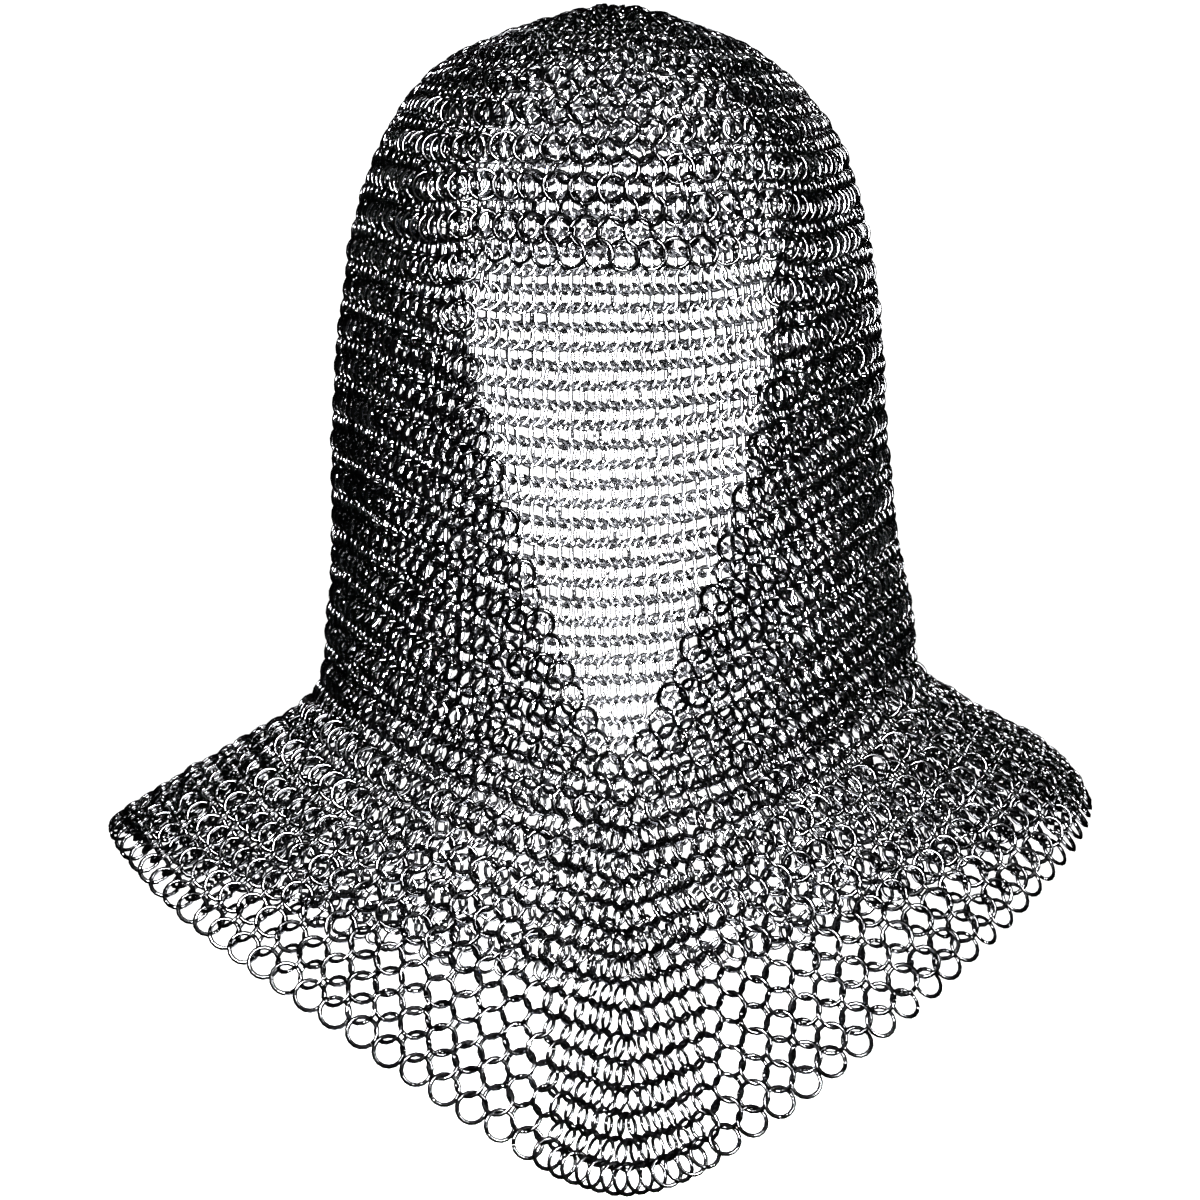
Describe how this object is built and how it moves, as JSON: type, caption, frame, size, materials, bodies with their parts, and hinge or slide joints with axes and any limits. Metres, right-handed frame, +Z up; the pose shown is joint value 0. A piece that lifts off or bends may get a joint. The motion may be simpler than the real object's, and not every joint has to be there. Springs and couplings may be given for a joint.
{
  "type": "chainmail coif",
  "caption": "Hollow hood of linked steel rings with a tall tapering face opening and a shoulder mantle that ends in a point on the chest, worn on the head.",
  "frame": {"origin": "inside of the crown at its top, where the wearer's head carries the coif", "axes": "+Z up, -Y the way the wearer looks, +X to the wearer's left"},
  "size_m": [0.3862, 0.2476, 0.4455],
  "materials": {
    "ring_steel": "dark drawn steel wire, butted rings, oiled, with bright highlights"
  },
  "bodies": {
    "root": {"crown": "ring_steel", "brow": "ring_steel", "side_left": "ring_steel", "side_right": "ring_steel", "nape": "ring_steel", "mantle_front_left": "ring_steel", "mantle_front_right": "ring_steel", "mantle_back_left": "ring_steel", "mantle_back_right": "ring_steel"}
  },
  "joints": []
}
